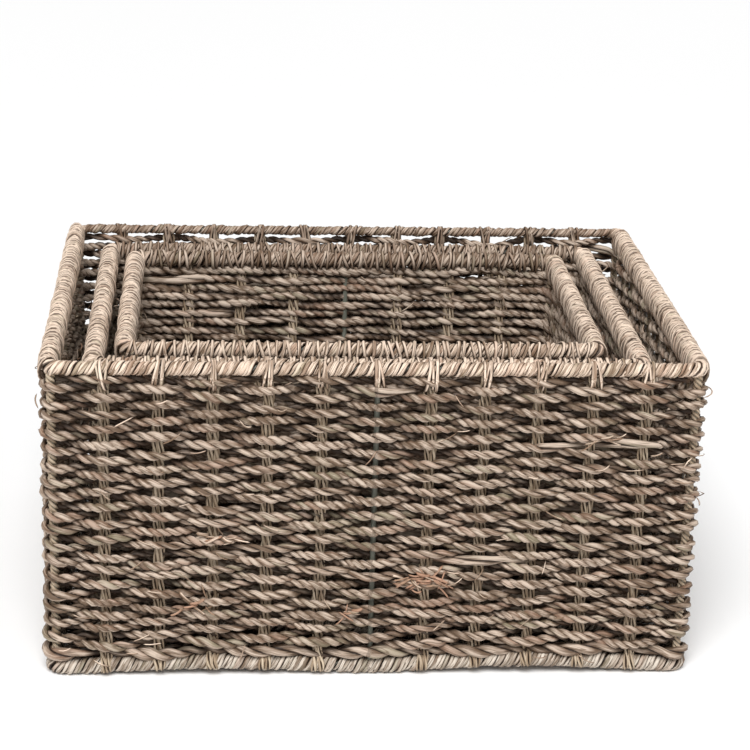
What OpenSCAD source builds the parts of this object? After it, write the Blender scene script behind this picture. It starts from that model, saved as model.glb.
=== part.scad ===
// A nest of three rectangular storage baskets.
// Each basket is a welded wire frame with twisted cord stakes, rope walls woven round the stakes,
// a woven base, and a leaf binding that covers the rim wire and the base wire.
// The two smaller baskets lift straight out of the next one up.
// Millimetres, +Z up, +X along the long side, origin under the middle of the large basket.

/* [Large basket] */
// Width over the woven walls
large_w = 403; // [398:1:430]
// Depth over the woven walls
large_d = 308; // [300:1:330]
// Height over the rim
large_h = 205; // [190:1:260]
// Diameter of the bound rim
large_rim_d = 9; // [7:0.5:10]
// Open gap between the rim and the top row of the walls
large_rim_gap = 4; // [1:0.5:10]

/* [Medium basket] */
// Width over the woven walls
medium_w = 350; // [345:1:370]
// Depth over the woven walls
medium_d = 258; // [245:1:270]
// Height over the rim
medium_h = 185; // [160:1:230]
// Diameter of the bound rim
medium_rim_d = 10; // [7:0.5:11]
// Open gap between the rim and the top row of the walls
medium_rim_gap = 1.5; // [1:0.5:10]

/* [Small basket] */
// Width over the woven walls
small_w = 308; // [260:1:315]
// Depth over the woven walls
small_d = 208; // [170:1:215]
// Height over the rim
small_h = 175; // [140:1:220]
// Diameter of the bound rim
small_rim_d = 10; // [7:0.5:11]
// Open gap between the rim and the top row of the walls
small_rim_gap = 1.5; // [1:0.5:10]

/* [Weave] */
// Thickness of a woven wall
wall_t = 13; // [11.5:0.5:13]
// Thickness of the woven base
base_t = 10; // [9:0.5:12]
// Diameter of the bound edge of the base
base_edge_d = 10; // [8:0.5:10]
// Diameter of one stake cord
cord_d = 2.8; // [1.6:0.1:3]
// Free width between the two cords of a stake
cord_space = 1.4; // [0.1:0.1:2]
// Spacing aimed at between stakes
stake_pitch = 33; // [26:1:40]

/* [Wire frame] */
// Diameter of the rim wire and the base wire
wire_d = 4; // [3:0.1:5]
// Diameter of the upright wires and the cross wire
post_d = 3.4; // [2.5:0.1:4]

/* [Fit] */
// Free height under each lifted basket
nest_gap = 0.3; // [0.3:0.1:2]
// How far the medium basket stands to the right of the middle of the large one
medium_right = -2; // [-8:1:8]
// How far the medium basket stands behind the middle of the large one
medium_behind = 8; // [-8:1:8]
// How far the small basket stands to the right of the middle of the large one
small_right = -5; // [-6:1:4]
// How far the small basket stands behind the middle of the large one
small_behind = 12; // [4:1:15]
// Clearance round a wire or cord in the weave and the binding
fit_gap = 0.05; // [0.03:0.01:0.1]

/* [Hidden] */
$fn = 48;
// The wires bend on the middle plane of the walls, so a wall's inner corner is sharp.
bend_r = wall_t / 2;
base_wire_z = base_edge_d / 2;
pair_w = 2 * cord_d + cord_space;
pair_offset = (cord_d + cord_space) / 2;

// name, width, depth, height, place of its underside's middle, bound rim's diameter, gap under the rim
BASKETS = [
    ["large", large_w, large_d, large_h, [0, 0, 0], large_rim_d, large_rim_gap],
    ["medium", medium_w, medium_d, medium_h, [medium_right, medium_behind, base_t + nest_gap],
        medium_rim_d, medium_rim_gap],
    ["small", small_w, small_d, small_h, [small_right, small_behind, 2 * (base_t + nest_gap)],
        small_rim_d, small_rim_gap]
];
PIECES = [
    "rim_wire", "base_wire", "corner_posts", "mid_posts", "base_cross_wire",
    "front_stakes", "back_stakes", "left_stakes", "right_stakes", "base_stakes",
    "front_weave", "back_weave", "left_weave", "right_weave", "base_weave",
    "rim_binding", "base_binding"
];

function width(b) = b[1];
function depth(b) = b[2];
function place(b) = b[4];
function rim_d(b) = b[5];
// Centre lines of the rim wire, the base wire and the walls
function line_w(b) = width(b) - wall_t;
function line_d(b) = depth(b) - wall_t;
function rim_z(b) = b[3] - rim_d(b) / 2;
function weave_top(b) = b[3] - rim_d(b) - b[6];
// The long walls have a wire in the middle, so they have an even number of spaces.
function long_spaces(b) = 2 * round(line_w(b) / stake_pitch / 2);
function short_spaces(b) = round(line_d(b) / stake_pitch);
function long_stakes(b) = [
    for (i = [1 : long_spaces(b) - 1])
        if (i != long_spaces(b) / 2) line_w(b) * (i / long_spaces(b) - 0.5)
];
function short_stakes(b) = [
    for (i = [1 : short_spaces(b) - 1]) line_d(b) * (i / short_spaces(b) - 0.5)
];
function corner_points(b) = [
    for (sx = [-1, 1], sy = [-1, 1])
        [sx * (line_w(b) / 2 - bend_r * (1 - cos(45))), sy * (line_d(b) / 2 - bend_r * (1 - cos(45)))]
];
function mid_points(b) = [[0, -line_d(b) / 2], [0, line_d(b) / 2]];

module bar_x(length, d) {
    rotate([0, 90, 0]) cylinder(h = length, d = d, center = true);
}

module bar_y(length, d) {
    rotate([90, 0, 0]) cylinder(h = length, d = d, center = true);
}

// The two bends at the ends of a long side; side is -1 at the front and 1 at the back
module end_bends(b, d, side) {
    for (end = [-1, 1])
        translate([end * (line_w(b) / 2 - bend_r), side * (line_d(b) / 2 - bend_r), 0])
            rotate([0, 0, side > 0 ? (end > 0 ? 0 : 90) : (end > 0 ? 270 : 180)])
                rotate_extrude(angle = 90) translate([bend_r, 0]) circle(d = d);
}

module long_runs(b, d) {
    for (side = [-1, 1]) {
        translate([0, side * line_d(b) / 2, 0]) bar_x(line_w(b) - 2 * bend_r, d);
        end_bends(b, d, side);
    }
}

// gap is left free at each end of a short run
module short_runs(b, d, gap) {
    for (side = [-1, 1])
        translate([side * line_w(b) / 2, 0, 0]) bar_y(line_d(b) - 2 * bend_r - 2 * gap, d);
}

// A wire bent to a rectangle, with its centre line at height z
module ring(b, d, z) {
    translate([0, 0, z]) {
        long_runs(b, d);
        short_runs(b, d, 0);
    }
}

module upright_bars(b, points, d) {
    for (p = points)
        translate([p.x, p.y, base_wire_z]) cylinder(h = rim_z(b) - base_wire_z, d = d);
}

// Uprights whose ends are coped to the round of the two wires they are welded to
module posts(b, points) {
    difference() {
        upright_bars(b, points, post_d);
        ring(b, wire_d, base_wire_z);
        ring(b, wire_d, rim_z(b));
    }
}

// A leaf binding round a wire: four runs that butt at the corners, pierced by the uprights
module binding(b, d, z) {
    difference() {
        translate([0, 0, z]) {
            long_runs(b, d);
            short_runs(b, d, fit_gap);
        }
        ring(b, wire_d + 2 * fit_gap, z);
        upright_bars(b, concat(corner_points(b), mid_points(b)), post_d + 2 * fit_gap);
        translate([0, 0, base_wire_z]) bar_y(line_d(b), post_d + 2 * fit_gap);
    }
}

// Two cords side by side, standing on the base edge and reaching the underside of the rim
module stake_pair(b) {
    for (side = [-1, 1])
        translate([side * pair_offset, 0, base_edge_d])
            cylinder(h = rim_z(b) - rim_d(b) / 2 - base_edge_d, d = cord_d);
}

module long_wall_stakes(b, side) {
    for (x = long_stakes(b)) translate([x, side * line_d(b) / 2, 0]) stake_pair(b);
}

module short_wall_stakes(b, side) {
    for (y = short_stakes(b))
        translate([side * line_w(b) / 2, y, 0]) rotate([0, 0, 90]) stake_pair(b);
}

module pair_slot() {
    square([pair_w + 2 * fit_gap, cord_d + 2 * fit_gap], center = true);
}

module round_plate(w, d, r) {
    square([w - 2 * r, d], center = true);
    square([w, d - 2 * r], center = true);
    for (sx = [-1, 1], sy = [-1, 1])
        translate([sx * (w / 2 - r), sy * (d / 2 - r)]) circle(r = r);
}

// A long wall runs the full width and takes in both outer corners.
module long_wall(b, side) {
    translate([0, 0, base_edge_d]) linear_extrude(height = weave_top(b) - base_edge_d)
        difference() {
            intersection() {
                round_plate(width(b), depth(b), wall_t);
                translate([0, side * line_d(b) / 2]) square([width(b), wall_t], center = true);
            }
            for (x = long_stakes(b)) translate([x, side * line_d(b) / 2]) pair_slot();
            for (p = concat(corner_points(b), mid_points(b)))
                translate(p) circle(d = post_d + 2 * fit_gap);
        }
}

// A short wall stands between the two long ones.
module short_wall(b, side) {
    translate([0, 0, base_edge_d]) linear_extrude(height = weave_top(b) - base_edge_d)
        difference() {
            translate([side * line_w(b) / 2, 0])
                square([wall_t, depth(b) - 2 * wall_t], center = true);
            for (y = short_stakes(b))
                translate([side * line_w(b) / 2, y]) rotate(90) pair_slot();
        }
}

module rim_wire(b) {
    color("#6d736b") ring(b, wire_d, rim_z(b));
}

module base_wire(b) {
    color("#6d736b") ring(b, wire_d, base_wire_z);
}

module corner_posts(b) {
    color("#737970") posts(b, corner_points(b));
}

module mid_posts(b) {
    color("#737970") posts(b, mid_points(b));
}

module base_cross_wire(b) {
    color("#737970") difference() {
        translate([0, 0, base_wire_z]) bar_y(line_d(b), post_d);
        ring(b, wire_d, base_wire_z);
        upright_bars(b, mid_points(b), post_d);
    }
}

module front_stakes(b) {
    color("#a58f6c") long_wall_stakes(b, -1);
}

module back_stakes(b) {
    color("#a58f6c") long_wall_stakes(b, 1);
}

module left_stakes(b) {
    color("#a58f6c") short_wall_stakes(b, -1);
}

module right_stakes(b) {
    color("#a58f6c") short_wall_stakes(b, 1);
}

module base_stakes(b) {
    color("#a58f6c") for (x = long_stakes(b), side = [-1, 1])
        translate([x + side * pair_offset, 0, base_wire_z])
            bar_y(line_d(b) - base_edge_d, cord_d);
}

module front_weave(b) {
    color("#76685a") long_wall(b, -1);
}

module back_weave(b) {
    color("#7b6d5e") long_wall(b, 1);
}

module left_weave(b) {
    color("#807263") short_wall(b, -1);
}

module right_weave(b) {
    color("#807263") short_wall(b, 1);
}

module base_weave(b) {
    inset = base_edge_d + 2 * fit_gap;
    color("#76685a") difference() {
        translate([0, 0, base_t / 2])
            cube([line_w(b) - inset, line_d(b) - inset, base_t], center = true);
        translate([0, 0, base_wire_z]) {
            bar_y(line_d(b), post_d + 2 * fit_gap);
            for (x = long_stakes(b)) translate([x, 0, 0])
                cube([pair_w + 2 * fit_gap, line_d(b), cord_d + 2 * fit_gap], center = true);
        }
    }
}

module rim_binding(b) {
    color("#94836f") binding(b, rim_d(b), rim_z(b));
}

module base_binding(b) {
    color("#84796a") binding(b, base_edge_d, base_wire_z);
}

for (b = BASKETS) translate(place(b)) {
    rim_wire(b);
    base_wire(b);
    corner_posts(b);
    mid_posts(b);
    base_cross_wire(b);
    front_stakes(b);
    back_stakes(b);
    left_stakes(b);
    right_stakes(b);
    base_stakes(b);
    front_weave(b);
    back_weave(b);
    left_weave(b);
    right_weave(b);
    base_weave(b);
    rim_binding(b);
    base_binding(b);
}
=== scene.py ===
import math

import bmesh
import bpy
import numpy as np
from mathutils import Matrix, Vector


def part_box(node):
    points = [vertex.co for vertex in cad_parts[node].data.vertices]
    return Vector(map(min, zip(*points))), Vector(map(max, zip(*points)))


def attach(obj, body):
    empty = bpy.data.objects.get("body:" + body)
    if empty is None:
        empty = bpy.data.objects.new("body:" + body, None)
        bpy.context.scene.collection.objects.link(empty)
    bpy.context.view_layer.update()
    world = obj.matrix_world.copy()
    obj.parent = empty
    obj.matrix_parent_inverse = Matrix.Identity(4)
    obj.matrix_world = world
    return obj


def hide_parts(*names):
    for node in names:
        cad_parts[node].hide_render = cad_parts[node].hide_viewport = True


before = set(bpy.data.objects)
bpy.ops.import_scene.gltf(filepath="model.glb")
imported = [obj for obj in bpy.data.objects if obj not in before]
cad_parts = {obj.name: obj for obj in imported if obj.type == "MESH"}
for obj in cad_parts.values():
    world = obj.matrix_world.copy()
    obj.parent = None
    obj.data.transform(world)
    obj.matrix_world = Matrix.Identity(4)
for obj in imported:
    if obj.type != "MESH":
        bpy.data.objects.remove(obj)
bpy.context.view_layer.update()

bl_info = {
    "name": "Seagrass basket nest",
    "version": (1, 0, 0),
    "blender": (4, 5, 0),
    "location": "3D View > Sidebar > Baskets",
    "description": "Weaves a nest of seagrass storage baskets round their wire frames",
    "category": "Object",
}

TURN = 2 * math.pi
TINY = 1e-9
BASKETS = ("large", "medium", "small")
WALLS = ("front", "right", "back", "left")
SEEDS = {"large": 11, "medium": 23, "small": 37}
# How much light is painted on the inner faces of each basket's walls
INSIDE_PAINTED_LIGHT = {"large": 0.7, "medium": 0.8, "small": 0.8}
FINISHES = {}
BASKET_CHOICES = [(name, name.title(), f"The {name} basket") for name in BASKETS]


def number_of(name, description, default, **kind):
    """An angle, a power or a plain number."""
    return bpy.props.FloatProperty(name=name, description=description, default=default, **kind)


def length_of(name, description, default, low=0.0):
    """A length that the sidebar shows in the scene's units."""
    return number_of(name, description, default, min=low, unit="LENGTH", precision=4)


def colour_of(name, description, default):
    """A colour that the sidebar shows as a swatch."""
    return bpy.props.FloatVectorProperty(
        name=name, description=description, default=default, size=3, min=0, max=1, subtype="COLOR"
    )


class WeaveSettings(bpy.types.PropertyGroup):
    """Sizes of the rope courses and of the cords that they pass round."""

    rope_width: length_of("Rope width", "Across the two plies of a wall rope", 0.0062)
    inner_rope: length_of("Inner rope", "The same in the two baskets that stand inside", 0.0074)
    lay_length: length_of("Lay length", "Rope length in which a ply goes once round", 0.0146)
    ply_step: length_of("Ply step", "Distance between a ply's modelled rings", 0.0021, 0.0005)
    inner_step: length_of("Inner step", "The same in the two inner baskets", 0.0028, 0.0005)
    base_step: length_of("Base step", "The same in the woven bases", 0.0038, 0.0005)
    swing: length_of("Swing", "How far a rope passes in front of or behind a stake", 0.0036)
    inner_swing: length_of("Inner swing", "The same in the two inner baskets", 0.0009)
    large_course: length_of("Large course", "Height of a course in the large basket", 0.00497)
    medium_course: length_of("Medium course", "Height of a course in the medium basket", 0.006)
    small_course: length_of("Small course", "Height of a course in the small basket", 0.0061)
    base_course: length_of("Base course", "Width of a course in a woven base", 0.0063)
    corner_radius: length_of("Corner radius", "Bend of the rope round a corner post", 0.0085)
    edge_arch: length_of("Edge arch", "Rise of the base edge between two uprights", 0.0042)
    bulge: length_of("Bulge", "How far a wall swells outwards at half height", 0.0012)
    spread: length_of("Spread", "How far the walls lean outwards at the base", 0.0012)


class BindingSettings(bpy.types.PropertyGroup):
    """Sizes of the leaf strands wound round the rim and the base edge."""

    fine_strand: length_of("Fine strand", "Width of a strand on the large rim", 0.0022)
    coarse_strand: length_of("Coarse strand", "Width of a strand on the other rims", 0.0025)
    edge_strand: length_of("Edge strand", "Width of a strand on the base edges", 0.0025)


class ColourSettings(bpy.types.PropertyGroup):
    """Colours of the dried leaf, the cords and the painted wire."""

    # Pale leaf is also where painted highlight and painted light end up; dark leaf is also painted
    # shade on ply sides turned inwards
    leaf_pale: colour_of("Pale leaf", "Bleached leaf faces", (0.56, 0.45, 0.36))
    leaf_mid: colour_of("Leaf", "The commonest leaf colour", (0.335, 0.25, 0.188))
    leaf_dark: colour_of("Dark leaf", "Leaf turned inwards", (0.14, 0.089, 0.055))
    leaf_red: colour_of("Red leaf", "Rusty stretches of leaf", (0.31, 0.175, 0.115))
    leaf_olive: colour_of("Olive leaf", "Green stretches of leaf", (0.26, 0.235, 0.15))
    cord_pale: colour_of("Pale cord", "Straw face of a stake cord", (0.6, 0.49, 0.36))
    cord_dark: colour_of("Dark cord", "Shaded side of a stake cord", (0.3, 0.215, 0.14))
    wire_paint: colour_of("Wire paint", "Painted frame wire", (0.15, 0.155, 0.125))


class StageSettings(bpy.types.PropertyGroup):
    """Where the camera stands and how strong the studio light is."""

    camera_x: length_of("Camera X", "Camera place along the long side", -0.0956, -10)
    camera_y: length_of("Camera Y", "Camera place along the short side", -1.3658, -10)
    camera_z: length_of("Camera Z", "Camera height", 0.6351)
    pitch: number_of("Pitch", "How far the camera looks down", 0.3445, subtype="ANGLE")
    yaw: number_of("Yaw", "How far the camera turns to +X", 0.0768, subtype="ANGLE")
    roll: number_of("Roll", "Camera roll", 0.0301, subtype="ANGLE")
    lens: number_of("Lens", "Focal length for a 36 mm sensor, in mm", 105.06)
    sky_power: number_of("Main light", "Strength of the broad main light from above", 3.05)
    fill_power: number_of("Fill light", "Power of the soft box in front", 6, unit="POWER")
    world_light: number_of("Surrounding light", "Strength of the white surroundings", 0.27)


SETTINGS = {
    "basket_weave": WeaveSettings,
    "basket_binding": BindingSettings,
    "basket_colours": ColourSettings,
    "basket_stage": StageSettings,
}


# Measures and lines -----------------------------------------------------------------------------


class Track:
    """A closed line round a rounded rectangle, measured from the middle of the front towards +X."""

    def __init__(self, width, depth, radius, bend_steps=12):
        self.a, self.b, self.bend = width / 2 - radius, depth / 2 - radius, TURN / 4 * radius
        places, outward = [(0, -depth / 2)], [(0, -1)]
        for quarter, (sx, sy) in enumerate([(1, -1), (1, 1), (-1, 1), (-1, -1)]):
            for i in range(bend_steps + 1):
                angle = TURN / 4 * (quarter - 1 + i / bend_steps)
                out = (math.cos(angle), math.sin(angle))
                places.append((sx * self.a + radius * out[0], sy * self.b + radius * out[1]))
                outward.append(out)
        places.append(places[0])
        outward.append(outward[0])
        self.places, self.outward = np.array(places), np.array(outward)
        steps = np.linalg.norm(np.diff(self.places, axis=0), axis=1)
        self.reach = np.concatenate([[0], np.cumsum(steps)])
        self.length = self.reach[-1]

    def at(self, s):
        """Places and outward directions, as arrays of three columns, at distances s."""
        s = np.mod(s, self.length)
        both = []
        for table in (self.places, self.outward):
            flat = [np.interp(s, self.reach, table[:, k]) for k in range(2)]
            both.append(np.stack(flat + [np.zeros_like(s)], axis=1))
        return both

    def point(self, s):
        """Place and outward direction at one distance s."""
        place, out = self.at(np.array([s]))
        return place[0], out[0]

    def corners(self):
        """Distances of the middles of the four bends."""
        first = self.a + self.bend / 2
        right = 2 * self.b + self.bend
        back = 2 * self.a + self.bend
        return [first, first + right, first + right + back, first + 2 * right + back]

    def of_wall(self, wall, along):
        """Distance of the point of a wall that lies at along, in x or y, from the wall's middle."""
        end = self.a + self.bend
        return {
            "front": along,
            "right": end + self.b + along,
            "back": 2 * end + 2 * self.b - along,
            "left": 3 * (end + self.b) - along,
        }[wall] % self.length


class Measures:
    """The sizes of one basket, read from its solids in the frame."""

    PAIR_WIDTH = 2.5  # of two stake cords and the space between them, in cord diameters

    def __init__(self, name):
        self.name = name
        low, high = self.box("rim_wire")
        self.centre = Vector(((low.x + high.x) / 2, (low.y + high.y) / 2, 0))
        self.wire_d = high.z - low.z
        self.line_w, self.line_d = high.x - low.x - self.wire_d, high.y - low.y - self.wire_d
        self.rim_z = (low.z + high.z) / 2
        low, high = self.box("rim_binding")
        self.rim_d = high.z - low.z
        low, high = self.box("base_binding")
        self.floor, self.edge_d = low.z, high.z - low.z
        self.edge_z = (low.z + high.z) / 2
        low, high = self.box("front_weave")
        self.wall_low, self.wall_high, self.wall_t = low.z, high.z, high.y - low.y
        self.track = Track(self.line_w, self.line_d, self.wall_t / 2)
        low, high = self.box("front_stakes")
        self.cord_d = high.y - low.y
        self.long_stakes = self.stakes("front_stakes", 0, self.line_w)
        self.short_stakes = self.stakes("left_stakes", 1, self.line_d)
        low, high = self.box("base_weave")
        self.base_low, self.base_high = low - self.centre, high - self.centre

    def box(self, piece):
        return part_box(f"{self.name}_{piece}")

    def stakes(self, piece, axis, line):
        """Stake places along a wall, whose first stake stands one space from the corner."""
        _, high = self.box(piece)
        pair = self.PAIR_WIDTH * self.cord_d
        spaces = round(line / (line / 2 - high[axis] + self.centre[axis] + pair / 2))
        return [line * (i / spaces - 0.5) for i in range(1, spaces)]

    def stakes_of(self, wall):
        """Stake places of a wall. A post stands in the middle of the front and the back instead."""
        if wall in ("left", "right"):
            return self.short_stakes
        return [x for x in self.long_stakes if abs(x) > TINY]


def wobble(rng, s, length, shortest, longest, waves=6):
    """Smooth noise, mostly from -1 to 1, along a closed line, the same at both its ends."""
    turns = np.round(length / rng.uniform(shortest, longest, waves))
    starts = rng.uniform(0, TURN, waves)
    return np.sin(TURN * np.outer(s, turns) / length + starts).sum(axis=1) / math.sqrt(waves)


def repeated(direction, number):
    """One direction for each of a number of points."""
    return np.tile(direction, (number, 1))


def plies(centre, side, up, angle, spread, count=2):
    """The lines of count plies that turn round a centre line."""
    lines = []
    for k in range(count):
        turned = angle + TURN * k / count
        sideways, upwards = spread * np.cos(turned), spread * np.sin(turned)
        lines.append(centre + sideways[:, None] * side + upwards[:, None] * up)
    return lines


# Meshes -----------------------------------------------------------------------------------------


WELD_DISTANCE = 0.00002
TIP, NECK = 0.002, 0.75  # shares of an open strand's radius at its very end and just before it


class Strand:
    """A round strand along points. Its core is the line that it turns round. Its tone is 0 to 1,
    and below 0 for a rusty leaf. Its sheet is the middle plane of the weave that it lies in:
    places, directions across it, half its thickness, and how much light is painted on its inner
    face. Its paleness is above 0 where the leaf is paler, from bleaching and painted light, and
    below 0 where it is darker, in tone and by painted shade."""

    DEEPEST, SHALLOWEST = 0.12, 0.58  # shares of half the weave's thickness that the painted shade spans
    INNER_FADE = 2.5  # how fast the painted light on the inner face grows away from the middle plane

    def __init__(self, points, radii, tone, core=None, closed=True, sheet=None, bleach_and_painted_light=0.0):
        self.points, self.tone, self.closed, self.sheet = points, tone, closed, sheet
        self.bleach_and_painted_light = np.broadcast_to(np.asarray(bleach_and_painted_light, float), len(points))
        self.radii = np.broadcast_to(np.asarray(radii, float), len(points))
        self.core = points - [0, 0, 1] if core is None else core

    def grain(self, sides):
        """Place along the strand and across it, for the leaf's grain."""
        steps = np.linalg.norm(np.diff(self.points, axis=0), axis=1)
        along = np.repeat(np.concatenate([[0], np.cumsum(steps)])[:, None], sides, axis=1)
        around = TURN * np.arange(sides) / sides
        across = [np.outer(self.radii, np.cos(around)), np.outer(self.radii, np.sin(around))]
        return np.stack([along, *across], axis=2).reshape(-1, 3)

    def crest(self, corners, sides):
        """1 on the side away from the core, -1 on the side towards it."""
        offset = corners.reshape(-1, sides, 3) - self.points[:, None]
        away = self.points - self.core
        away = away / np.linalg.norm(away, axis=1, keepdims=True)
        size = np.linalg.norm(offset, axis=2) + TINY
        return (np.einsum("nsk,nk->ns", offset, away) / size).ravel()

    def shade(self, corners, sides):
        """Painted shade: 1 in the middle plane of a weave, 0 on its faces, and less where the leaf
        is paler from bleaching and from painted light.
        """
        bleached_and_lit = np.repeat(self.bleach_and_painted_light, sides)
        if self.sheet is None:
            return -bleached_and_lit
        places, across, half, inner = self.sheet
        offset = corners.reshape(-1, sides, 3) - places[:, None]
        outwards = np.einsum("nsk,nk->ns", offset, across) / half
        away = np.clip(np.abs(outwards), self.DEEPEST, self.SHALLOWEST)
        depth = (self.SHALLOWEST - away) / (self.SHALLOWEST - self.DEEPEST)
        # Painted shade deep in the weave, minus painted light on the inner face and the strand's
        # paleness
        return (depth - inner * np.clip(-self.INNER_FADE * outwards, 0, 1)).ravel() - bleached_and_lit


def strand_mesh(name, strands, sides=6):
    """One mesh of strands, which keeps their grain, crests and tones for the materials."""
    curve = bpy.data.curves.new(name, "CURVE")
    curve.dimensions, curve.fill_mode = "3D", "FULL"
    curve.bevel_depth, curve.bevel_resolution = 1, (sides - 4) // 2
    for strand in strands:
        spline = curve.splines.new("POLY")
        spline.points.add(len(strand.points) - 1)
        rows = np.column_stack([strand.points, np.ones(len(strand.points))])
        spline.points.foreach_set("co", rows.ravel())
        spline.points.foreach_set("radius", strand.radii)
        spline.use_cyclic_u = strand.closed
        spline.use_smooth = True
    holder = bpy.data.objects.new(name + "_line", curve)
    bpy.context.scene.collection.objects.link(holder)
    evaluated = holder.evaluated_get(bpy.context.evaluated_depsgraph_get())
    mesh = bpy.data.meshes.new_from_object(evaluated)
    bpy.data.objects.remove(holder)
    bpy.data.curves.remove(curve)
    mesh.name = name
    corners = np.zeros(len(mesh.vertices) * 3)
    mesh.vertices.foreach_get("co", corners)
    ends = np.cumsum([len(strand.points) * sides for strand in strands])
    if ends[-1] != len(mesh.vertices):
        raise RuntimeError(f"{name}: {len(mesh.vertices)} points where {ends[-1]} were laid out")
    parts = np.split(corners.reshape(-1, 3), ends[:-1])
    grain = np.concatenate([strand.grain(sides) for strand in strands])
    mesh.attributes.new("grain", "FLOAT_VECTOR", "POINT").data.foreach_set("vector", grain.ravel())
    pairs = list(zip(strands, parts))
    numbers = {
        "crest": [strand.crest(part, sides) for strand, part in pairs],
        "shade": [strand.shade(part, sides) for strand, part in pairs],
        "tone": [np.full(len(part), strand.tone) for strand, part in pairs],
    }
    for key, values in numbers.items():
        attribute = mesh.attributes.new(key, "FLOAT", "POINT")
        attribute.data.foreach_set("value", np.concatenate(values))
    return mesh


def close_ends(mesh):
    """Welds the pinched ends of open strands into poles."""
    shape = bmesh.new()
    shape.from_mesh(mesh)
    bmesh.ops.remove_doubles(shape, verts=shape.verts[:], dist=WELD_DISTANCE)
    shape.to_mesh(mesh)
    shape.free()


def add_piece(measures, part, strands, finish, stands_for=(), sides=6, open_ends=False):
    """Makes strands into a piece in its basket's place, on its body and with its finish. Its
    part and the solids that it stands for are named without their basket."""
    name = f"{measures.name}_{part}"
    replaced = [f"{measures.name}_{node}" for node in stands_for]
    mesh = strand_mesh(name, strands, sides)
    if open_ends:
        close_ends(mesh)
    mesh.transform(Matrix.Translation(measures.centre))
    mesh.materials.clear()
    mesh.materials.append(finish_named(finish))
    piece = bpy.data.objects.new(name, mesh)
    bpy.context.scene.collection.objects.link(piece)
    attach(piece, measures.name)
    if replaced:
        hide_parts(*replaced)


def tapered(count, radius, pinch=2):
    """Radii of an open strand that narrows to a point at both ends."""
    radii = np.full(count, float(radius))
    for i in range(pinch):
        radii[i] = radii[-1 - i] = radius * (TIP if i == 0 else NECK)
    return radii


# Materials --------------------------------------------------------------------------------------


class Value:
    """A number that varies over a surface, so that maths on it reads as maths."""

    def __init__(self, finish, socket):
        self.finish, self.socket = finish, socket

    def maths(self, operation, first, second):
        node = self.finish.add("ShaderNodeMath", {"operation": operation}, {0: first, 1: second})
        return Value(self.finish, node.outputs[0])

    def __add__(self, other):
        return self.maths("ADD", self, other)

    def __sub__(self, other):
        return self.maths("SUBTRACT", self, other)

    def __mul__(self, other):
        return self.maths("MULTIPLY", self, other)

    def __rsub__(self, other):
        return self.maths("SUBTRACT", other, self)

    def folded(self, size):
        """Runs up and down between 0 and size, which turns smooth noise into many thin lines."""
        return self.maths("PINGPONG", self, size)

    __radd__, __rmul__ = __add__, __mul__


class Finish:
    """A material under construction; add() makes any node."""

    def __init__(self, name):
        self.material = bpy.data.materials.new(name)
        self.material.use_nodes = True
        self.tree = self.material.node_tree
        self.tree.nodes.clear()
        self.surface = self.add("ShaderNodeBsdfPrincipled")
        output = self.add("ShaderNodeOutputMaterial")
        self.tree.links.new(self.surface.outputs["BSDF"], output.inputs["Surface"])

    def add(self, kind, settings=None, inputs=None):
        node = self.tree.nodes.new(kind)
        for key, value in (settings or {}).items():
            setattr(node, key, value)
        for key, value in (inputs or {}).items():
            self.put(node, key, value)
        return node

    def put(self, node, key, value):
        """Gives a value or a link to an input, found by number, name or identifier."""
        if isinstance(key, int):
            socket = node.inputs[key]
        else:
            socket = next(s for s in node.inputs if key in (s.identifier, s.name))
        if isinstance(value, Value):
            value = value.socket
        if isinstance(value, bpy.types.NodeSocket):
            self.tree.links.new(value, socket)
        elif socket.type == "RGBA" and len(value) == 3:
            socket.default_value = (*value, 1)
        else:
            socket.default_value = value

    def set(self, **values):
        for key, value in values.items():
            self.put(self.surface, key.replace("_", " "), value)

    def attribute(self, name, output="Fac"):
        """One of the attributes that the strands carry."""
        return self.add("ShaderNodeAttribute", {"attribute_name": name}).outputs[output]

    def noise(self, vector, phase, detail=2.0, roughness=0.5):
        node = self.add(
            "ShaderNodeTexNoise",
            {"noise_dimensions": "4D"},
            {"Vector": vector, "W": phase, "Scale": 1.0, "Detail": detail, "Roughness": roughness},
        )
        return Value(self, node.outputs[0])

    def stretched(self, vector, scales):
        node = self.add("ShaderNodeVectorMath", {"operation": "MULTIPLY"}, {0: vector, 1: scales})
        return node.outputs[0]

    def mixed(self, factor, first, second, blend="MIX"):
        node = self.add(
            "ShaderNodeMix",
            {"data_type": "RGBA", "blend_type": blend},
            {"Factor_Float": factor, "A_Color": first, "B_Color": second},
        )
        return next(s for s in node.outputs if s.identifier == "Result_Color")

    def bump(self, height, strength, distance):
        """A normal that follows a height."""
        node = self.add(
            "ShaderNodeBump", None, {"Strength": strength, "Distance": distance, "Height": height}
        )
        return node.outputs["Normal"]

    def band(self, value, low, high):
        """0 below low, 1 above high, and a smooth step between."""
        node = self.add(
            "ShaderNodeMapRange",
            {"interpolation_type": "SMOOTHSTEP"},
            {"Value": value, "From Min": low, "From Max": high},
        )
        return Value(self, node.outputs[0])


# Waves to the metre, along a strand and twice across it
PATCH_WAVES = (45, 260, 260)
LEAF_WAVES = (26, 380, 380)
STREAK_WAVES = (70, 1100, 1100)
TINT_WAVES = (14, 130, 130)

# Values between which a colour takes over, of the brightness, the tint, the tone and the leaf edge
TO_MID, TO_PALE = (0.08, 0.5), (0.44, 0.92)
TO_RED, TO_OLIVE, TO_RUST = (0.54, 0.7), (0.43, 0.29), (-0.05, -0.2)
TO_EDGE = (0.18, 0.05)

# Shade values from the palest leaf, paler from bleaching and painted light, whose dark lines are
# faint, to leaf that keeps them
DARK_LINES_KEPT = (-3.4, 0.0)

# Crest values between which a strand's side turns into the painted shade of its groove
WOVEN_GROOVE = (-0.15, -0.5)
CORD_GROOVE = (-0.1, -0.42)
BOUND_GROOVE = (0.76, 0.46)
NO_GROOVE = (-2, -3)

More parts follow.
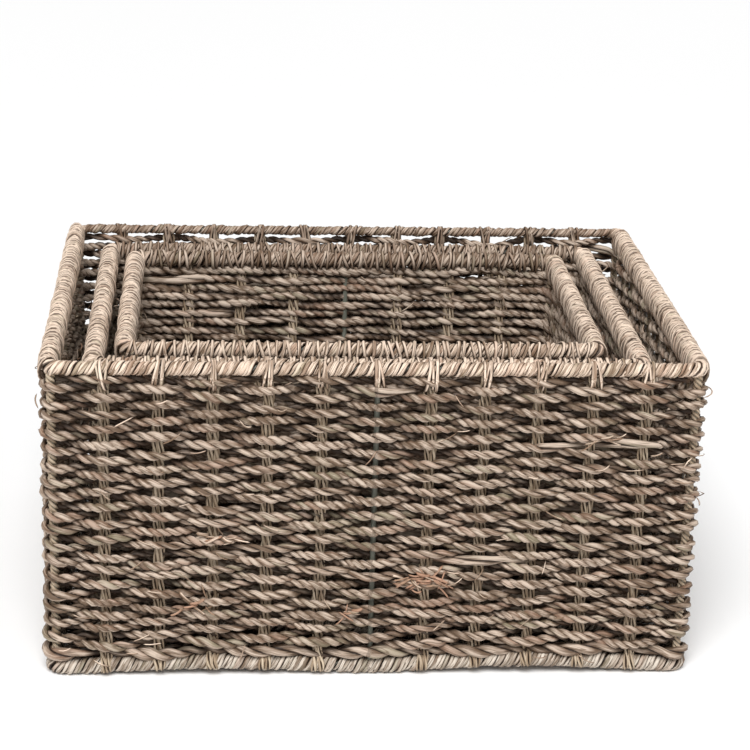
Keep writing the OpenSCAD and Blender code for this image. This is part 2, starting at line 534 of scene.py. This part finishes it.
# How much lighter bound leaf is than woven leaf, and what share of the dark leaf the painted shade
# in grooves and deep in the weave is
BOUND_LIGHTER = (1.55, 1.55, 1.55)
EDGE_LIGHTER = (1.28, 1.4, 1.48)
PAINTED_SHADE_SHARE = (0.13, 0.095, 0.075)
LEAF_RELIEF = 0.0004


def tinted(colour, shares):
    return tuple(share * part for share, part in zip(shares, colour))


def leaf_finish(name, pale, mid, dark, red, olive, groove, fleck=1.0):
    """Dried leaf laid along a strand: long patches of colour, fine grain, dark leaf edges, a
    painted highlight on the crests, and painted shade in grooves where the crest lies between two
    values and deep in the weave. Where the leaf is paler, from bleaching and painted light, the
    edges and grooves are fainter."""
    finish = Finish(name)
    grain = finish.attribute("grain", "Vector")
    keys = ("tone", "crest", "shade")
    tone, crest, shade = (Value(finish, finish.attribute(key)) for key in keys)
    patch = finish.noise(finish.stretched(grain, PATCH_WAVES), tone * 91, 2.0)
    leaf = finish.noise(finish.stretched(grain, LEAF_WAVES), tone * 57, 1.5)
    streak = finish.noise(finish.stretched(grain, STREAK_WAVES), tone * 33, 3.0, 0.6)
    tint = finish.noise(finish.stretched(grain, TINT_WAVES), tone * 71 + 9, 1.0)
    # Brightness from leaf patches, streaks and tone, with a painted highlight on each crest and
    # painted shade on the side towards the core
    bright = (patch - 0.5) * 2.7 + (streak - 0.5) * 2.3 + tone * 0.36 + crest * 0.5 + 0.1
    # Painted shade deep in the weave darkens it; painted light, where shade is below 0, lightens it
    bright = bright - shade * 0.45
    # The dark lines fade on paler leaf and under painted light
    kept = finish.band(shade, *DARK_LINES_KEPT)
    colour = finish.mixed(finish.band(bright, *TO_MID), dark, mid)
    colour = finish.mixed(finish.band(bright, *TO_PALE), colour, pale)
    rust = finish.band(tint, *TO_RED) * (0.5 * fleck) + finish.band(tone, *TO_RUST) * 0.75
    colour = finish.mixed(rust, colour, red)
    colour = finish.mixed(finish.band(tint, *TO_OLIVE) * (0.55 * fleck), colour, olive)
    fold = (leaf * 5).folded(0.5)
    edge = finish.band(fold, *TO_EDGE)
    # Painted shade colour: a dark share of the dark leaf, for grooves and the middle of the weave
    shaded = tinted(dark, PAINTED_SHADE_SHARE)
    colour = finish.mixed(edge * kept * 0.7, colour, dark)
    # Painted shade in the groove between plies, then painted shade deep in the weave
    colour = finish.mixed(finish.band(crest, *groove) * kept * 0.95, colour, shaded)
    colour = finish.mixed(shade * 0.92, colour, shaded)
    height = streak * 0.7 + fold * 0.9
    bump = finish.bump(height, 0.8, LEAF_RELIEF)
    finish.set(Base_Color=colour, Roughness=(streak - 0.5) * 0.5 + 0.58, Normal=bump)
    finish.surface.inputs["Specular IOR Level"].default_value = 0.35
    return finish.material


def wire_finish(name, paint):
    """Thin, slightly uneven paint on drawn wire."""
    finish = Finish(name)
    place = finish.add("ShaderNodeTexCoord").outputs["Object"]
    speckle = finish.noise(finish.stretched(place, (900, 900, 240)), 0.0, 3.0)
    worn = finish.mixed(finish.band(speckle, 0.58, 0.70) * 0.5, paint, (0.38, 0.38, 0.33))
    bump = finish.bump(speckle, 0.3, 0.0001)
    finish.set(Base_Color=worn, Roughness=(speckle - 0.5) * 0.5 + 0.45, Normal=bump)
    return finish.material


def floor_finish(name):
    """Matt white studio ground with hardly visible unevenness."""
    finish = Finish(name)
    place = finish.add("ShaderNodeTexCoord").outputs["Object"]
    cloud = finish.noise(place, 0.0, 2.0)
    white = finish.mixed(cloud, (0.93, 0.93, 0.93), (0.95, 0.95, 0.95))
    finish.set(Base_Color=white, Roughness=0.9)
    return finish.material


def finish_named(name):
    """The material of that name, made on first use."""
    if name not in FINISHES:
        FINISHES[name] = made_finish(name)
    return FINISHES[name]


def made_finish(name):
    """A new material for one of the finishes, in the colours of the sidebar."""
    c = bpy.context.scene.basket_colours
    leaf = [tuple(x) for x in (c.leaf_pale, c.leaf_mid, c.leaf_dark, c.leaf_red, c.leaf_olive)]
    if name == "woven_leaf":
        return leaf_finish(name, *leaf, WOVEN_GROOVE)
    if name in ("bound_leaf", "loose_leaf"):
        lighter = [tinted(shade, BOUND_LIGHTER) for shade in leaf]
        groove = BOUND_GROOVE if name == "bound_leaf" else NO_GROOVE
        return leaf_finish(name, *lighter, groove, fleck=0.8)
    if name == "edge_leaf":
        greyer = [tinted(shade, EDGE_LIGHTER) for shade in leaf]
        return leaf_finish(name, *greyer, BOUND_GROOVE, fleck=0.8)
    if name == "straw_cord":
        pale, dark = tuple(c.cord_pale), tuple(c.cord_dark)
        middle = tuple((p + d) / 2 for p, d in zip(pale, dark))
        return leaf_finish(name, pale, middle, dark, dark, middle, CORD_GROOVE, fleck=0.6)
    if name == "painted_wire":
        return wire_finish(name, tuple(c.wire_paint))
    return floor_finish(name)


# Parts ------------------------------------------------------------------------------------------

# What is added to a basket's seed for each of its steps, so that each has its own draws
WALL_SALT, STAKE_SALT, BASE_SALT, BINDING_SALT, END_SALT, EDGE_SALT = range(6)

# Share of a rope's width from its middle to that of a ply
LARGE_TWIST, INNER_TWIST = 0.205, 0.155
SLACK_BLEACH = 0.7
EDGE_BLEACH = -0.12
EDGE_REACH = 0.03  # height in which the base edge's arch dies out in the courses
CORD_LAY, CORD_STEP = 0.034, 0.006
BAND_ROWS = 12
WIRE_POINTS = 240

# Width of the strand of a loop that ties a rim, and its least and most drop
SIDE_TIE = (0.0011, (0.0155, 0.0185))
STAKE_TIE = (0.0012, (0.015, 0.018))
CLOSE_TIE = (0.0012, (0.0105, 0.0125))


def edge_rise(measures, track, s, arch):
    """How far the base edge stands up between its corners and its middle posts."""
    fixed = sorted([*track.corners(), 0, track.of_wall("back", 0), track.length])
    span = np.searchsorted(fixed, np.mod(s, track.length), side="right") - 1
    span = np.clip(span, 0, len(fixed) - 2)
    start, end = np.array(fixed)[span], np.array(fixed)[span + 1]
    share = (np.mod(s, track.length) - start) / (end - start)
    rng = np.random.default_rng(SEEDS[measures.name] + EDGE_SALT)
    heights = rng.uniform(0.75, 1.15, len(fixed))
    return arch * heights[span] * np.sin(math.pi * share) ** 1.4


def weave_knots(measures, track):
    """Distances of the uprights that a course passes, and of the first again at the end."""
    posts = [*track.corners(), 0, track.of_wall("back", 0)]
    posts += [track.of_wall(wall, p) for wall in WALLS for p in measures.stakes_of(wall)]
    posts = np.unique(np.round(posts, 6))
    return np.append(posts, posts[0] + track.length)


def course_levels(rng, measures, width, course):
    """Levels and rope widths of the courses, and how much the lowest ones are swollen."""
    low = measures.wall_low + width * 0.7
    high = measures.rim_z - measures.rim_d / 2 - width * 0.45
    count = round((high - low) / course)
    swelling = 1 + 0.5 * np.exp(-np.arange(count) / 0.6)
    widths = width * swelling * rng.uniform(0.88, 1.08, count)
    gaps = (widths[1:] + widths[:-1]) * rng.uniform(0.86, 1.14, count - 1)
    levels = low + (high - low) * np.concatenate([[0], np.cumsum(gaps)]) / gaps.sum()
    return levels, widths, swelling


def course_turn(rng, s, length, lay):
    """How far a rope is turned at each point of its course, and where it lies slack."""
    slack_from, slack_rate = 1.4, 0.15
    rate = np.clip(1 + 0.26 * wobble(rng, s, length, 0.03, 0.2), 0.4, 2)
    slack = wobble(rng, s, length, 0.2, 0.7) > slack_from
    rate[slack] = slack_rate
    turns = round(length / lay)
    return -TURN * turns * np.cumsum(rate) / rate.sum() + rng.uniform(0, TURN), slack


def wall_courses(measures, rng, weave, course):
    """The plies of every rope course round the walls, a list for each course."""
    track = Track(measures.line_w, measures.line_d, weave.corner_radius)
    if measures.name == "large":
        width, reach, step = weave.rope_width, weave.swing, weave.ply_step
        twist = LARGE_TWIST
    else:
        width, reach, step = weave.inner_rope, weave.inner_swing, weave.inner_step
        twist = INNER_TWIST
    levels, widths, swelling = course_levels(rng, measures, width, course)
    number = round(track.length / step)
    s = np.arange(number) * track.length / number
    place, out = track.at(s)
    up = repeated([0, 0, 1.0], number)
    knots = weave_knots(measures, track)
    passed = np.interp(np.mod(s - knots[0], track.length) + knots[0], knots, np.arange(len(knots)))
    rise = edge_rise(measures, track, s, weave.edge_arch)
    towards_corner = 2 * np.abs(place[:, 0]) / measures.line_w
    # The sheet carries painted shade deep in the weave and painted light on the inner faces
    sheet = (place, out, measures.wall_t / 2, INSIDE_PAINTED_LIGHT[measures.name])
    rows = []
    for row, (level, thick, swollen) in enumerate(zip(levels, widths, swelling)):
        lay = weave.lay_length * (2.2 * swollen - 1.2) * rng.uniform(0.9, 1.12)
        swing = np.cos(math.pi * (passed + row))
        height = level + 0.0012 * wobble(rng, s, track.length, 0.045, 0.16)
        height = height + rise * math.exp(-(level - measures.floor) / EDGE_REACH)
        share = (level - measures.floor) / (measures.rim_z - measures.floor)
        swell = weave.bulge * math.sin(math.pi * share) * (1 - towards_corner**4)
        swell = swell + weave.spread * (1 - share) ** 2
        offset = reach * (1.6 - 0.6 * swollen) * swing + swell
        offset = offset + 0.0004 * wobble(rng, s, track.length, 0.03, 0.1)
        centre = place + out * offset[:, None]
        centre[:, 2] = height
        angle, slack = course_turn(rng, s, track.length, lay)
        held = thick * (1 - 0.10 * (1 - np.abs(swing)))
        strands = []
        for line in plies(centre, out, up, angle, twist * held):
            radii = (0.51 - twist) * held * (1 + 0.13 * wobble(rng, s, track.length, 0.014, 0.07))
            tone, bleach_and_painted_light = rng.uniform(0, 1), SLACK_BLEACH * slack
            strands.append(Strand(line, radii, tone, centre, sheet=sheet, bleach_and_painted_light=bleach_and_painted_light))
        rows.append(strands)
    return rows


def ring_width(measures, s):
    """Relative width of the rim binding, which is thin along the back of the large basket."""
    _, out = measures.track.at(s)
    if measures.name != "large":
        return 1 + 0.08 * out[:, 0] ** 2
    return 0.97 + 0.2 * out[:, 0] ** 2 - 0.25 * np.clip(out[:, 1], 0, 1) ** 2


def rim_painted_light(out):
    """Painted light on a rim: most along the sides, none at the front, and painted shade at the
    back.
    """
    return 1.2 * out[:, 0] ** 2 - 0.35 * np.clip(out[:, 1], 0, 1)


def bound_ring(measures, rng, level, diameter, strand, bleach_and_painted_light):
    """Leaf strands wound side by side round a wire at a level, with a diameter, a strand width
    and how much paler or darker each point is, in tone and by painted light and shade."""
    starts, steps, samples = 5, 10, 4000
    track = measures.track
    s = np.arange(samples) * track.length / samples
    winding = np.cumsum(1 / (strand(s) * starts)) * track.length / samples
    turns = round(winding[-1])
    number = turns * steps
    share = np.arange(number) / number
    s = np.interp(share, winding / winding[-1], s)
    place, out = track.at(s)
    width, wide = strand(s), diameter(s)
    core = place + [0, 0, level]
    strands = []
    for k in range(starts):
        thick = 0.66 * width * (1 + 0.14 * wobble(rng, s, track.length, 0.003, 0.04))
        reach = wide / 2 - 0.62 * width + 0.0004 * wobble(rng, s, track.length, 0.008, 0.05)
        angle = TURN * turns * share + TURN * k / starts
        angle = angle + 0.42 * wobble(rng, s, track.length, 0.02, 0.16)
        line = core + out * (reach * np.cos(angle))[:, None]
        line[:, 2] += reach * np.sin(angle)
        strands.append(Strand(line, thick, rng.uniform(0, 0.7), core, bleach_and_painted_light=bleach_and_painted_light(out)))
    return strands


def lashings(measures, rng, places, width, drops):
    """Leaf loops that tie the rim and the top course together, with the least and most drop."""
    points = 14
    track = measures.track
    top = measures.rim_z + measures.rim_d / 2
    around = TURN * np.arange(points) / points
    strands = []
    for s in places:
        drop = rng.uniform(*drops)
        lean = rng.uniform(-0.0022, 0.0026)
        place, out = track.at(s + lean * np.sin(around + rng.uniform(-0.5, 0.5)))
        wide = measures.rim_d / 2 * ring_width(measures, np.array([s]))[0]
        reach = wide + rng.uniform(-0.0004, 0.0006)
        core = place + [0, 0, top - (measures.rim_d / 2 - wide) - drop / 2]
        line = core + out * (reach * np.cos(around))[:, None]
        line[:, 2] += drop / 2 * np.sin(around)
        radius = width * rng.uniform(0.8, 1.2)
        # The loops take the rim's painted light along the sides and painted shade at the back
        strands.append(Strand(line, radius, rng.uniform(0, 1), core, bleach_and_painted_light=rim_painted_light(out)))
    return strands


def stray_fibres(measures, rng, count):
    """Thin leaf ends that stand away from the walls, on either face."""
    strands = []
    for _ in range(count):
        s = rng.uniform(0, measures.track.length)
        level = rng.uniform(measures.floor + 0.006, measures.wall_high)
        strands.append(fibre(measures, rng, s, level, rng.uniform(0, 1)))
    return strands


def fibre(measures, rng, s, level, tone, longest=0.015):
    """One leaf end that starts in a wall and curls away from it."""
    t = np.linspace(0, 1, 7)
    span, slope = rng.uniform(0.007, longest), rng.normal(0, 0.5)
    heading = rng.choice([-1, 1])
    face = 1 if rng.uniform() < 0.75 else -1
    place, out = measures.track.at(s + heading * span * t * math.cos(slope))
    bow = rng.uniform(0.0008, 0.0042) * np.sin(0.8 * math.pi * t)
    line = place + out * (face * (measures.wall_t / 2 - 0.0006 + bow))[:, None]
    curl = rng.normal(0, 0.0025)
    line[:, 2] = level + span * t * math.sin(slope) + curl * t**2
    radii = tapered(len(t), rng.uniform(0.00024, 0.0005), 1)
    return Strand(line, radii, tone, closed=False)


def fray(measures, rng, s, level, size, count, rusty):
    """A burst of leaf ends where a rope was joined."""
    strands = []
    for _ in range(count):
        tone = rng.uniform(-0.9, -0.3) if rng.uniform() < rusty else rng.uniform(0, 1)
        at, up = s + rng.normal(0, size / 2), level + rng.normal(0, size / 6)
        strand = fibre(measures, rng, at, up, tone, 0.013)
        strand.radii = strand.radii * rng.uniform(1.2, 2.4)
        strands.append(strand)
    return strands


def cord_plies(rng, points, side, up, cord_d):
    """Three loosely turned fibres along an open line, side by side across it."""
    steps = np.linalg.norm(np.diff(points, axis=0), axis=1)
    along = np.concatenate([[0], np.cumsum(steps)])
    angle = TURN * along / (CORD_LAY * rng.uniform(0.85, 1.2)) + rng.uniform(0, TURN)
    across, out = repeated(1.35 * side, len(points)), repeated(0.8 * up, len(points))
    strands = []
    for line in plies(points, across, out, angle, 0.32 * cord_d, 3):
        radii = tapered(len(points), 0.38 * cord_d * rng.uniform(0.8, 1.15))
        strands.append(Strand(line, radii, rng.uniform(0, 1), points, False))
    return strands


def stake_outline(measures, rise):
    """How far out and how high a stake cord runs, from under the base edge up into the rim."""
    reach = measures.edge_d / 2 + 0.0002
    lowest = measures.floor + 0.0012
    outline = []
    for angle in np.linspace(-1.0, 1.4, 7):
        height = max(measures.edge_z + reach * math.sin(angle), lowest)
        outline.append((reach * math.cos(angle), height + rise))
    levels = np.arange(measures.edge_z + reach + 0.004, measures.rim_z, CORD_STEP)
    outline += [(0.0, z) for z in levels]
    return np.array(outline + [(0.0, measures.rim_z)])


def wall_stakes(measures, rng, wall, weave):
    """The cord pairs of one wall, tucked under the base edge and run up into the rim binding."""
    track = measures.track
    strands = []
    for p in measures.stakes_of(wall):
        for side in (-1, 1):
            s = track.of_wall(wall, p) + side * 0.62 * measures.cord_d
            place, out = track.point(s)
            rise = float(edge_rise(measures, track, np.array([s]), weave.edge_arch)[0])
            along = np.cross([0, 0, 1.0], out)
            outline = stake_outline(measures, rise)
            count = np.arange(len(outline))
            sway = 0.0006 * np.sin(count * rng.uniform(0.5, 0.9) + rng.uniform(0, TURN))
            points = place + out * outline[:, :1] + along * sway[:, None]
            points[:, 2] = outline[:, 1]
            strands += cord_plies(rng, points, along, out, measures.cord_d)
    return strands


def corner_cords(measures, rng):
    """Leaf cords wound round the corner posts."""
    rise, lay, spread, radius = 0.0016, 0.0105, 0.0019, 0.0012
    levels = np.arange(measures.edge_z, measures.rim_z, rise)
    strands = []
    for s in measures.track.corners():
        place, out = measures.track.point(s)
        points = repeated(place, len(levels))
        points[:, 2] = levels
        across, outs = repeated(np.cross([0, 0, 1.0], out), len(levels)), repeated(out, len(levels))
        for line in plies(points, across, outs, TURN * levels / lay, spread, 3):
            radii = tapered(len(levels), radius)
            strands.append(Strand(line, radii, rng.uniform(0, 0.5), points, False))
    return strands


def base_courses(measures, rng, weave):
    """Rope courses across a base, over and under the cords that cross it."""
    width, swing_size, overhang, half = 0.0058, 0.0021, 0.001, 0.0045
    low, high = measures.base_low, measures.base_high
    middle = (low.z + high.z) / 2
    count = round((high.y - low.y) / weave.base_course)
    places = np.array([-measures.line_w / 2, *measures.long_stakes, measures.line_w / 2])
    number = round((high.x - low.x) / weave.base_step)
    x = np.linspace(low.x - overhang, high.x + overhang, number)
    passed = np.interp(x, places, np.arange(len(places)))
    side, up = repeated([0, 1.0, 0], number), repeated([0, 0, 1.0], number)
    strands = []
    for row in range(count):
        y = low.y + (high.y - low.y) * (row + 0.5) / count
        swing = swing_size * np.cos(math.pi * (passed + row))
        y = y + 0.0004 * wobble(rng, x, measures.line_w, 0.05, 0.2)
        centre = np.stack([x, y, middle + swing], axis=1)
        lay = 1.5 * weave.lay_length * rng.uniform(0.92, 1.1)
        angle = -TURN * (x / lay) + rng.uniform(0, TURN)
        sheet = (np.stack([x, y, np.full(number, middle)], axis=1), up, half, 0.0)
        for line in plies(centre, side, up, angle, 0.22 * width):
            line[:, 2] = np.clip(line[:, 2], low.z + 0.0015, high.z)
            uneven = 1 + 0.1 * wobble(rng, x, measures.line_w, 0.02, 0.09)
            radii = tapered(number, 0.28 * width) * uneven
            strands.append(Strand(line, radii, rng.uniform(0, 1), centre, False, sheet))
    return strands


def base_cords(measures, rng):
    """The cord pairs under the base courses."""
    overhang = 0.002
    low, high = measures.base_low, measures.base_high
    y = np.arange(low.y - overhang, high.y + overhang, CORD_STEP)
    across, up = np.array([1.0, 0, 0]), np.array([0, 0, 1.0])
    strands = []
    for x in measures.stakes_of("front"):
        for side in (-1, 1):
            beside = np.full_like(y, x + side * 0.75 * measures.cord_d)
            points = np.stack([beside, y, np.full_like(y, measures.edge_z)], axis=1)
            strands += cord_plies(rng, points, across, up, measures.cord_d)
    return strands


def banded(rows, most):
    """Rows in bands of at most most rows, of nearly equal size."""
    bands = math.ceil(len(rows) / most)
    return [rows[len(rows) * i // bands : len(rows) * (i + 1) // bands] for i in range(bands)]


class BasketOperator:
    """What the operators that work on one basket share."""

    basket: bpy.props.EnumProperty(name="Basket", description="Which basket", items=BASKET_CHOICES)

    def ready(self, salt):
        self.measures = Measures(self.basket)
        self.rng = np.random.default_rng(SEEDS[self.basket] + salt)
        return self.measures


class BASKET_OT_wires(bpy.types.Operator):
    """Paint the frame wires"""

    bl_idname = "basket.paint_wires"
    bl_label = "Paint the wires"

    def execute(self, context):
        for name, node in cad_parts.items():
            if name.endswith(("_wire", "_posts")):
                node.data.materials.clear()
                node.data.materials.append(finish_named("painted_wire"))
        return {"FINISHED"}


class BASKET_OT_walls(BasketOperator, bpy.types.Operator):
    """Weave the rope courses of a basket's walls"""

    bl_idname = "basket.weave_walls"
    bl_label = "Weave the walls"

    def execute(self, context):
        measures = self.ready(WALL_SALT)
        weave = context.scene.basket_weave
        rows = wall_courses(measures, self.rng, weave, getattr(weave, self.basket + "_course"))
        stood = [wall + "_weave" for wall in WALLS]
        for i, band in enumerate(banded(rows, BAND_ROWS)):
            strands = [strand for row in band for strand in row]
            part = f"wall_courses_{i + 1}"
            add_piece(measures, part, strands, "woven_leaf", stood)
        return {"FINISHED"}


class BASKET_OT_stakes(BasketOperator, bpy.types.Operator):
    """Set up the cord pairs that the walls are woven round"""

    bl_idname = "basket.set_stakes"
    bl_label = "Set the stakes"

    def execute(self, context):
        measures = self.ready(STAKE_SALT)
        for wall in WALLS:
            strands = wall_stakes(measures, self.rng, wall, context.scene.basket_weave)
            if wall == "front":
                strands += corner_cords(measures, self.rng)
            part, stood = wall + "_cords", [wall + "_stakes"]
            add_piece(measures, part, strands, "straw_cord", stood, 4, True)
        return {"FINISHED"}


class BASKET_OT_base(BasketOperator, bpy.types.Operator):
    """Weave a basket's base"""

    bl_idname = "basket.weave_base"
    bl_label = "Weave the base"

    def execute(self, context):
        measures = self.ready(BASE_SALT)
        ropes = base_courses(measures, self.rng, context.scene.basket_weave)
        stood = ["base_weave"]
        add_piece(measures, "base_courses", ropes, "woven_leaf", stood, 6, True)
        cords = base_cords(measures, self.rng)
        stood = ["base_stakes"]
        add_piece(measures, "base_cords", cords, "straw_cord", stood, 4, True)
        return {"FINISHED"}


class BASKET_OT_bindings(BasketOperator, bpy.types.Operator):
    """Wind the leaf bindings round the rim and the base edge"""

    bl_idname = "basket.wind_bindings"
    bl_label = "Wind the bindings"

    def execute(self, context):
        measures = self.ready(BINDING_SALT)
        binding, weave = context.scene.basket_binding, context.scene.basket_weave
        track, rng = measures.track, self.rng
        rim_strand = binding.fine_strand if self.basket == "large" else binding.coarse_strand
        across = np.abs(track.outward[:, 0])
        # The rim's strands get painted light along the sides and painted shade at the back
        rim = bound_ring(
            measures, rng, measures.rim_z,
            lambda s: measures.rim_d * ring_width(measures, s),
            lambda s: rim_strand * (1 + 0.35 * np.interp(s, track.reach, across)),
            rim_painted_light,
        )
        edge = bound_ring(
            measures, rng, measures.edge_z,
            lambda s: np.full(len(s), measures.edge_d),
            lambda s: np.full(len(s), binding.edge_strand),
            lambda out: np.full(len(out), EDGE_BLEACH),
        )
        wire = self.base_wire()
        for line in (*edge, wire):
            s = np.arange(len(line.points)) * track.length / len(line.points)
            rise = edge_rise(measures, track, s, weave.edge_arch)
            line.points[:, 2] += rise
            line.core = line.core + np.outer(rise, [0, 0, 1])
        rim += lashings(measures, rng, self.side_ties(), *SIDE_TIE)
        if self.basket == "large":
            rim += lashings(measures, rng, self.stake_ties(), *STAKE_TIE)
        else:
            rim += lashings(measures, rng, self.close_ties(), *CLOSE_TIE)
        for part, strands, finish in (("rim", rim, "bound_leaf"), ("base", edge, "edge_leaf")):
            stood = [part + "_binding"]
            add_piece(measures, part + "_strands", strands, finish, stood)
        add_piece(measures, "base_line", [wire], "painted_wire", ["base_wire"], 12)
        return {"FINISHED"}

    def base_wire(self):
        """The wire of the base edge, which the binding follows."""
        track = self.measures.track
        place, _ = track.at(np.arange(WIRE_POINTS) * track.length / WIRE_POINTS)
        return Strand(place + [0, 0, self.measures.edge_z], self.measures.wire_d / 2, 0.5)

    def ties(self, walls, steps, sway):
        """Places of loops at steps along walls, each up to sway off its step."""
        shifts = [(wall, x + self.rng.uniform(-sway, sway)) for wall in walls for x in steps]
        return [self.measures.track.of_wall(wall, x) for wall, x in shifts]

    def side_ties(self):
        """Loops close together along the short sides."""
        end = self.measures.line_d / 2 - 0.006
        return self.ties(WALLS[1::2], np.arange(-end, end, 0.0052), 0.0016)

    def close_ties(self):
        """Loops close together along the long sides."""
        end = self.measures.line_w / 2 - 0.004
        return self.ties(WALLS[::2], np.arange(-end, end, 0.0045), 0.0012)

    def stake_ties(self):
        """Loops in threes where the stakes meet the rim along the long sides."""
        steps = [x + step for x in self.measures.long_stakes for step in (-0.002, 0.0, 0.002)]
        return self.ties(WALLS[::2], steps, 0.0008)


class BASKET_OT_ends(BasketOperator, bpy.types.Operator):
    """Leave loose leaf ends and frayed joins in the walls"""

    bl_idname = "basket.leave_ends"
    bl_label = "Leave loose ends"

    def execute(self, context):
        measures, rng = self.ready(END_SALT), self.rng
        fibres_a_metre, joins = 190, 9
        strands = stray_fibres(measures, rng, round(fibres_a_metre * measures.track.length))
        if self.basket == "large":
            strands += fray(measures, rng, 0.0315, 0.066, size=0.016, count=46, rusty=0.8)
        for _ in range(joins):
            s = rng.uniform(0, measures.track.length)
            level = rng.uniform(0.03, 0.9 * measures.wall_high)
            strands += fray(measures, rng, s, level, size=0.008, count=9, rusty=0.3)
        add_piece(
            measures, "loose_ends", strands, "loose_leaf", sides=4, open_ends=True
        )
        return {"FINISHED"}


FLOOR_HALF = 12
SUN_SPREAD = math.radians(35)
SUN_PLACE = (-0.18, -0.8, 1.3)
FILL_PLACE, FILL_SIZE = (0.2, -1.5, 1.25), 1.2
AIMED_AT = Vector((0, 0, 0.1))
SENSOR_WIDTH = 36


class BASKET_OT_stage(bpy.types.Operator):
    """Set up the ground, the light and the camera"""

    bl_idname = "basket.set_stage"
    bl_label = "Set the stage"

    def execute(self, context):
        stage = context.scene.basket_stage
        self.ground()
        self.light(context.scene, stage)
        self.camera(context.scene, stage)
        context.scene.view_settings.view_transform = "Standard"
        return {"FINISHED"}

    def ground(self):
        shape = bmesh.new()
        bmesh.ops.create_grid(shape, x_segments=1, y_segments=1, size=FLOOR_HALF)
        mesh = bpy.data.meshes.new("studio_floor")
        shape.to_mesh(mesh)
        shape.free()
        mesh.materials.append(finish_named("studio_ground"))
        floor = bpy.data.objects.new("studio_floor", mesh)
        bpy.context.scene.collection.objects.link(floor)

    def light(self, scene, stage):
        scene.world = bpy.data.worlds.new("studio")
        scene.world.use_nodes = True
        background = scene.world.node_tree.nodes["Background"]
        background.inputs["Color"].default_value = (1, 1, 1, 1)
        background.inputs["Strength"].default_value = stage.world_light
        sun = bpy.data.lights.new("sky_light", "SUN")
        sun.energy, sun.angle = stage.sky_power, SUN_SPREAD
        self.aim(scene, sun, SUN_PLACE)
        box = bpy.data.lights.new("fill_light", "AREA")
        box.energy, box.size = stage.fill_power, FILL_SIZE
        self.aim(scene, box, FILL_PLACE)

    def aim(self, scene, lamp, place):
        light = bpy.data.objects.new(lamp.name, lamp)
        light.location = place
        ahead = AIMED_AT - Vector(place)
        light.rotation_euler = ahead.to_track_quat("-Z", "Y").to_euler()
        scene.collection.objects.link(light)

    def camera(self, scene, stage):
        yaw, pitch, roll = stage.yaw, stage.pitch, stage.roll
        level = math.cos(pitch)
        ahead = Vector((math.sin(yaw) * level, math.cos(yaw) * level, -math.sin(pitch)))
        right = Vector((math.cos(yaw), -math.sin(yaw), 0))
        up = right.cross(ahead)
        tilted_right = right * math.cos(roll) + up * math.sin(roll)
        tilted_up = up * math.cos(roll) - right * math.sin(roll)
        turn = Matrix((tilted_right, tilted_up, -ahead)).transposed()
        lens = bpy.data.cameras.new("camera")
        lens.lens, lens.sensor_width = stage.lens, SENSOR_WIDTH
        camera = bpy.data.objects.new("camera", lens)
        place = Vector((stage.camera_x, stage.camera_y, stage.camera_z))
        camera.matrix_world = Matrix.Translation(place) @ turn.to_4x4()
        scene.collection.objects.link(camera)
        scene.camera = camera


BASKET_STEPS = ("weave_walls", "set_stakes", "weave_base", "wind_bindings", "leave_ends")


class BASKET_PT_panel(bpy.types.Panel):
    """Lists the settings and the steps in the order that they run"""

    bl_label = "Seagrass basket nest"
    bl_idname = "BASKET_PT_panel"
    bl_space_type = "VIEW_3D"
    bl_region_type = "UI"
    bl_category = "Baskets"

    def draw(self, context):
        for settings, group in SETTINGS.items():
            box = self.layout.box()
            for name in group.__annotations__:
                box.prop(getattr(context.scene, settings), name)
        self.layout.operator("basket.set_stage")
        self.layout.operator("basket.paint_wires")
        for step in BASKET_STEPS:
            for basket in BASKETS:
                self.layout.operator("basket." + step).basket = basket


CLASSES = (
    *SETTINGS.values(),
    BASKET_OT_wires,
    BASKET_OT_walls,
    BASKET_OT_stakes,
    BASKET_OT_base,
    BASKET_OT_bindings,
    BASKET_OT_ends,
    BASKET_OT_stage,
    BASKET_PT_panel,
)


def register():
    for cls in CLASSES:
        bpy.utils.register_class(cls)
    for name, group in SETTINGS.items():
        setattr(bpy.types.Scene, name, bpy.props.PointerProperty(type=group))


def unregister():
    for name in SETTINGS:
        delattr(bpy.types.Scene, name)
    for cls in reversed(CLASSES):
        bpy.utils.unregister_class(cls)


def main():
    register()
    bpy.ops.basket.set_stage()
    bpy.ops.basket.paint_wires()
    for basket in BASKETS:
        for step in BASKET_STEPS:
            getattr(bpy.ops.basket, step)(basket=basket)


if __name__ == "__main__":
    main()
